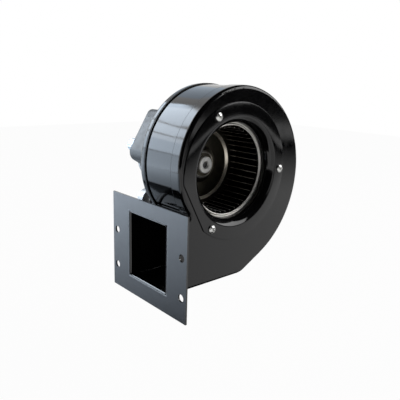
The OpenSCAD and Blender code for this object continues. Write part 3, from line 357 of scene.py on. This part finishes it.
def revolve(bm, profile, steps, centre=(AXIS.x, AXIS.z)):
    """Turns a closed profile of (radius, y) points about a line along Y."""
    cx, cz = centre
    rings = []
    for i in range(steps):
        t = math.tau * i / steps
        rings.append([bm.verts.new((cx + r * math.cos(t), y, cz + r * math.sin(t))) for r, y in profile])
    for ring, following in zip(rings, rings[1:] + rings[:1]):
        for j in range(len(profile)):
            k = (j + 1) % len(profile)
            bm.faces.new((ring[j], ring[k], following[k], following[j]))


def reach(node):
    """The outer radius of a node about the wheel's axis, from its box."""
    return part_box(node)[1][0] - AXIS.x


# The inlet ring: the plate's flat rim runs into the bell mouth through a soft bend
face_y, throat_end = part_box("inlet_plate")[0][1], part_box("inlet_plate")[1][1]
PLATE_T, PLATE_EDGE, BEND = 0.0012, 0.0004, 0.005
PLATE_R = reach("inlet_plate")
THROAT_R, BELL_R, BELL_DEEP = 0.0558, 0.0638, 0.0122
CHORD_AT, CHORD_TURN = PLATE_R - 0.0066, math.radians(208)           # the rim's trimmed side
LATHE_STEPS, BELL_STEPS, INNER_STEPS = 300, 24, 12
sweep = 2 * math.atan((BELL_R - THROAT_R) / BELL_DEEP)
bell_arc = BELL_DEEP / math.sin(sweep)
bend_reach = BEND * math.tan((math.pi / 2 - sweep) / 2)
bell_sweep = sweep - bend_reach / bell_arc


def bell_point(radius, turn):
    """A point on the bell's arc, or with a smaller radius on its back; turn is 0 at the throat."""
    return (THROAT_R + bell_arc - radius * math.cos(turn), face_y + BELL_DEEP - radius * math.sin(turn))


bend = arc((BELL_R + bend_reach, face_y + BEND), BEND, math.degrees(sweep) - 180, -90, 8)
profile = (
    [(PLATE_R, face_y + PLATE_T)]
    + arc((PLATE_R - PLATE_EDGE, face_y + PLATE_EDGE), PLATE_EDGE, 0, -90, 4)
    + bend[::-1]
    + [bell_point(bell_arc, bell_sweep * (1 - i / BELL_STEPS)) for i in range(BELL_STEPS + 1)]
    + [(THROAT_R, throat_end - PLATE_T / 2)]
    + arc((THROAT_R + PLATE_T / 2, throat_end - PLATE_T / 2), PLATE_T / 2, 180, 0, 6)
    + [bell_point(bell_arc - PLATE_T, sweep * i / INNER_STEPS) for i in range(INNER_STEPS)]
    + [(BELL_R + PLATE_T, face_y + PLATE_T)]
)
bm = bmesh.new()
revolve(bm, profile, LATHE_STEPS)
chord = Vector((math.cos(CHORD_TURN), 0, math.sin(CHORD_TURN)))
cut = bmesh.ops.bisect_plane(
    bm, geom=bm.verts[:] + bm.edges[:] + bm.faces[:], dist=MERGE,
    plane_co=AXIS + CHORD_AT * chord, plane_no=chord, clear_outer=True)
bmesh.ops.holes_fill(bm, edges=[e for e in cut["geom_cut"] if isinstance(e, bmesh.types.BMEdge)], sides=0)
built("inlet_ring", bm, paint, HOUSING, ["inlet_plate"], sharp=40)

# The outlet's lip: a rounded bead where the flange's sheet turns into the neck
LIP_R, LIP_CORNER, LIP_OUT = 0.0006, 0.003, 0.0012
half_w, half_h = OPEN_HALF_W + LIP_OUT, OPEN_HALF_H + LIP_OUT
path = []
for a, b, start in ((1, 1, 0), (-1, 1, 90), (-1, -1, 180), (1, -1, 270)):
    corner = (OUTLET_Y + a * (half_w - LIP_CORNER), OUTLET_Z + b * (half_h - LIP_CORNER))
    path += arc(corner, LIP_CORNER, start, start + 90, 8)
curve = bpy.data.curves.new("outlet_lip", "CURVE")
curve.dimensions = "3D"
curve.bevel_depth = LIP_R
curve.bevel_resolution = 4
line = curve.splines.new("POLY")
line.points.add(len(path) - 1)
for point, (y, z) in zip(line.points, path):
    point.co = (LIP_R, y, z, 1)
line.use_cyclic_u = True
curve.materials.append(paint)
lip = added("outlet_lip", curve)
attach(lip, HOUSING)

# The wheel's front ring, with a rolled inner edge and a shallow groove
ring_y, rim_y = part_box("wheel_front_ring")[0][1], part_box("wheel_front_ring")[1][1]
RING_IN, RING_OUT = 0.0520, reach("wheel_front_ring")
SHEET, ROLL, ROLL_BACK = 0.001, 0.001, 0.0002
GROOVE_R, GROOVE_IN, GROOVE_DEEP, FLAT_IN, RIM_R = 0.0012, 0.0036, 0.0017, 0.0052, 0.0008
profile = (
    arc((RING_IN + ROLL, ring_y + ROLL), ROLL, 180, 335, 14)
    + arc((RING_IN + GROOVE_IN, ring_y + GROOVE_DEEP), GROOVE_R, 215, 325, 10)
    + [(RING_IN + FLAT_IN, ring_y + SHEET), (RING_OUT - RIM_R, ring_y + SHEET)]
    + arc((RING_OUT - RIM_R, ring_y + SHEET + RIM_R), RIM_R, -90, 0, 6)
    + [(RING_OUT, rim_y), (RING_OUT - SHEET, rim_y), (RING_OUT - SHEET, ring_y + 2 * SHEET),
       (RING_IN + ROLL, ring_y + 2 * SHEET), (RING_IN + ROLL_BACK, ring_y + 1.5 * SHEET)]
)
bm = bmesh.new()
revolve(bm, profile, LATHE_STEPS)
built("fan_front_ring", bm, ring_zinc, WHEEL, ["wheel_front_ring"], sharp=50)

# The inlet screws: domed heads with a cross recess, each on its own shank
head_y, shank_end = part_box("inlet_screws")[0][1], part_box("inlet_screws")[1][1]
SCREW_R, SCREW_CIRCLE, SCREW_TURNS, SCREW_STEPS = 0.0025, 0.0720, (-2, -122, -242), 48
HEAD_R, ROUNDING, DOME_R, DOME_EDGE = 0.00475, 0.0006, 0.0068, 0.0042
PINHOLE = 1e-5                        # the lathe's least radius, on the screw's own axis
CROSS_ENDS = ((-0.0005, 0.0029, 0.00062), (0.0019, 0.0011, 0.0004))  # depth, half length, half width
CROSS_LEAN, CROSS_LEAN_STEP = 25, 50  # degrees, so that no two screws are driven alike
dome = arc((0, head_y + DOME_R), DOME_R, -90, -90 + math.degrees(math.asin(DOME_EDGE / DOME_R)), 8)
profile = (
    [(PINHOLE, head_y)] + dome[1:]
    + arc((HEAD_R - ROUNDING, dome[-1][1] + ROUNDING), ROUNDING, -60, 0, 4)
    + [(HEAD_R, face_y), (SCREW_R, face_y), (SCREW_R, shank_end - ROUNDING),
       (SCREW_R - ROUNDING, shank_end), (PINHOLE, shank_end)]
)


def cross_mesh(cx, cz, lean):
    """Two crossed wedges at a screw's head, to be cut out of it."""
    bm = bmesh.new()
    for arm in (lean, lean + math.pi / 2):
        corners = []
        for depth, long, wide in CROSS_ENDS:
            for a, b in ((-1, -1), (1, -1), (1, 1), (-1, 1)):
                x, z = a * long, b * wide
                corners.append(bm.verts.new((cx + x * math.cos(arm) - z * math.sin(arm), head_y + depth,
                                             cz + x * math.sin(arm) + z * math.cos(arm))))
        front, rear = corners[:4], corners[4:]
        bm.faces.new(front)
        bm.faces.new(rear[::-1])
        for i in range(4):
            j = (i + 1) % 4
            bm.faces.new((front[i], rear[i], rear[j], front[j]))
    bmesh.ops.recalc_face_normals(bm, faces=bm.faces)
    mesh = bpy.data.meshes.new("recess")
    bm.to_mesh(mesh)
    bm.free()
    return mesh


def cut_out(o, mesh):
    """Takes a mesh out of an object's shape, for good."""
    cutter = added("recess", mesh)
    recess = o.modifiers.new("recess", "BOOLEAN")
    recess.operation = "DIFFERENCE"
    recess.solver = "EXACT"
    recess.use_self = True
    recess.object = cutter
    bpy.context.view_layer.update()
    shape = bpy.data.meshes.new_from_object(o.evaluated_get(bpy.context.evaluated_depsgraph_get()))
    o.modifiers.clear()
    o.data = shape
    bpy.data.objects.remove(cutter)


for count, turn in enumerate(SCREW_TURNS):
    t = math.radians(turn)
    cx, cz = AXIS.x + SCREW_CIRCLE * math.cos(t), AXIS.z + SCREW_CIRCLE * math.sin(t)
    bm = bmesh.new()
    revolve(bm, profile, SCREW_STEPS, (cx, cz))
    stands_for = ["inlet_screws"] if count == 0 else []
    screw = built("inlet_screw_%d" % (count + 1), bm, zinc, HOUSING, stands_for, sharp=45)
    cut_out(screw, cross_mesh(cx, cz, math.radians(CROSS_LEAN + CROSS_LEAN_STEP * count)))


# ---- studio ----
def seen_rays(tree):
    """1 for rays that show the background: those of the camera, of mirrors and of glass."""
    path = tree.nodes.new("ShaderNodeLightPath")
    total = path.outputs["Is Camera Ray"]
    for kind in ("Is Glossy Ray", "Is Transmission Ray"):
        total = math_node(tree, "MAXIMUM", total, path.outputs[kind])
    return total


# The world: white to the rays that show the background, and a dim grey light to the rest
WORLD_GREY, WORLD_WHITE = (0.10, 0.10, 0.105, 1), (1, 1, 1, 1)
world = bpy.data.worlds.new("studio")
bpy.context.scene.world = world
world.use_nodes = True
tree = world.node_tree
back = tree.nodes["Background"]
back.inputs["Strength"].default_value = 1.0
tree.links.new(blend(tree, "RGBA", seen_rays(tree), WORLD_GREY, WORLD_WHITE), back.inputs["Color"])

middle = Vector(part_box("scroll_wrap")[0]).lerp(Vector(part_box("scroll_wrap")[1]), 0.5)
FLOOR_DROP, CARD_LIFT = 0.12, 0.002   # the floor is below the blower, and the cards above the floor
FLOOR_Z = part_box("outlet_flange")[0][2] - FLOOR_DROP


def rectangle(name, width, height):
    mesh = bpy.data.meshes.new(name)
    w, h = width / 2, height / 2
    mesh.from_pydata([(-w, -h, 0), (w, -h, 0), (w, h, 0), (-w, h, 0)], [], [(0, 1, 2, 3)])
    return mesh


def direction(azimuth, elevation):
    """A unit vector: azimuth 0 is +Y and 90 is -X, as seen from above."""
    a, e = math.radians(azimuth), math.radians(elevation)
    return Vector((-math.sin(a) * math.cos(e), math.cos(a) * math.cos(e), math.sin(e)))


def card(name, centre, towards, width, height, colour, strength):
    """A panel of the studio, glowing or black, that shows only in what the object mirrors."""
    o = added(name, rectangle(name, width, height))
    o.location = centre
    o.rotation_mode = "QUATERNION"
    o.rotation_quaternion = (Vector(towards) - Vector(centre)).to_track_quat("Z", "Y")
    m, tree = bare_material(name)
    glow = tree.nodes.new("ShaderNodeEmission")
    glow.inputs["Color"].default_value = (*colour, 1)
    glow.inputs["Strength"].default_value = strength
    out = tree.nodes.new("ShaderNodeOutputMaterial")
    tree.links.new(glow.outputs[0], out.inputs["Surface"])
    o.data.materials.append(m)
    o.visible_camera = False
    o.visible_diffuse = False
    o.visible_shadow = False
    return o


def far_card(name, azimuth, elevation, width, height, colour, strength, distance=2.5):
    """A card that faces the housing from the given direction."""
    centre = middle + distance * direction(azimuth, elevation)
    return card(name, centre, middle, width, height, colour, strength)


def floor_card(name, centre, width, length, turn, near, far, colour):
    """A card just above the floor, whose glow goes from near to far along its length."""
    z = FLOOR_Z + CARD_LIFT
    o = card(name, (*centre, z), (*centre, z + 1), width, length, colour, 1.0)
    o.rotation_mode = "XYZ"
    o.rotation_euler = (0, 0, math.radians(turn))
    tree = o.data.materials[0].node_tree
    glow = next(n for n in tree.nodes if n.type == "EMISSION")
    tree.links.new(map_range(tree, coordinate(tree, "Y"), -length / 2, length / 2, near, far),
                   glow.inputs["Strength"])


def lamp(name, azimuth, elevation, distance, size, power):
    """A square area lamp that faces the housing from the given direction."""
    data = bpy.data.lights.new(name, "AREA")
    data.size = size
    data.energy = power
    o = added(name, data)
    o.location = middle + distance * direction(azimuth, elevation)
    o.rotation_mode = "QUATERNION"
    o.rotation_quaternion = (middle - o.location).to_track_quat("-Z", "Y")


# A cool window behind the blower: the gaps between its panes are the dark lines on the wrap
COOL, WHITE, DARK = (0.74, 0.86, 1.0), (1, 1, 1), (0, 0, 0)
far_card("window_top", 14, 37.3, 1.05, 0.46, COOL, 6.8)
far_card("window_middle", 24, 27.0, 1.0, 0.33, COOL, 7.4)
far_card("window_low", 32, 14.5, 1.1, 0.66, COOL, 6.6)
far_card("window_foot", 34, -1.6, 1.1, 0.69, COOL, 4.2)
far_card("window_back", 333, 31, 0.9, 0.9, COOL, 1.2)

# The table as the flange and the covers mirror it
floor_card("table_left", (-0.54, 0.66), 1.5, 1.35, 36, 0.5, 4.6, COOL)
floor_card("table_far", (-1.32, 1.69), 1.8, 0.9, 38, 4.4, 4.4, COOL)
floor_card("table_under", (0.55, 0.27), 1.4, 1.06, 0, 0.0, 0.0, DARK)
floor_card("table_near", (0.38, -0.61), 2.0, 0.9, 222, 0.75, 0.95, WHITE)
floor_card("table_front", (1.18, -1.51), 3.4, 1.5, 222, 0.95, -0.35, WHITE)

# Black flags, which keep the rest of the gloss paint dark
far_card("flag_left", 125, 20, 5.0, 3.6, DARK, 0.0)
far_card("flag_front", 226, 36, 5.0, 3.6, DARK, 0.0, distance=2.2)
card("flag_top", middle + Vector((0, -0.4, 2.6)), middle, 5.0, 4.0, DARK, 0.0)

lamp("fill", 234, 26, 1.8, 1.2, 15)
lamp("rim", 26, 34, 1.8, 1.0, 4)

# The floor: nearly white where it is seen, and the little of it that is lit keeps the shadow
FLOOR_SIZE, FLOOR_X, FLOOR_PALE, GLOW_SHARE = 6, 0.1, (0.8, 0.79, 0.78, 1), 0.97
floor = added("floor", rectangle("floor", FLOOR_SIZE, FLOOR_SIZE))
floor.location = (FLOOR_X, 0, FLOOR_Z)
m, tree = bare_material("floor")
pale = tree.nodes.new("ShaderNodeBsdfDiffuse")
pale.inputs["Color"].default_value = FLOOR_PALE
glow = tree.nodes.new("ShaderNodeEmission")
glow.inputs["Strength"].default_value = 1.0
mixed = tree.nodes.new("ShaderNodeMixShader")
out = tree.nodes.new("ShaderNodeOutputMaterial")
tree.links.new(math_node(tree, "MULTIPLY", seen_rays(tree), GLOW_SHARE), mixed.inputs[0])
tree.links.new(pale.outputs[0], mixed.inputs[1])
tree.links.new(glow.outputs[0], mixed.inputs[2])
tree.links.new(mixed.outputs[0], out.inputs["Surface"])
floor.data.materials.append(m)

# ---- camera: at the photograph's angle ----
CAMERA_AT, LENS = (-0.2948, -0.4189, 0.2002), 43.85
AZIMUTH, ELEVATION, ROLL = (math.radians(v) for v in (-41.53, 14.11, 1.757))
data = bpy.data.cameras.new("camera")
data.sensor_width = 36
data.lens = LENS
data.clip_start, data.clip_end = 0.01, 20
camera = added("camera", data)
camera.location = CAMERA_AT
away = Vector((math.sin(AZIMUTH) * math.cos(ELEVATION), -math.cos(AZIMUTH) * math.cos(ELEVATION),
               math.sin(ELEVATION)))
level = (-away).cross(Vector((0, 0, 1))).normalized()
upright = level.cross(-away)
right = math.cos(ROLL) * level + math.sin(ROLL) * upright
up = -math.sin(ROLL) * level + math.cos(ROLL) * upright
camera.rotation_mode = "QUATERNION"
camera.rotation_quaternion = Matrix((right, up, away)).transposed().to_quaternion()
bpy.context.scene.camera = camera

bpy.context.scene.view_settings.view_transform = "Standard"
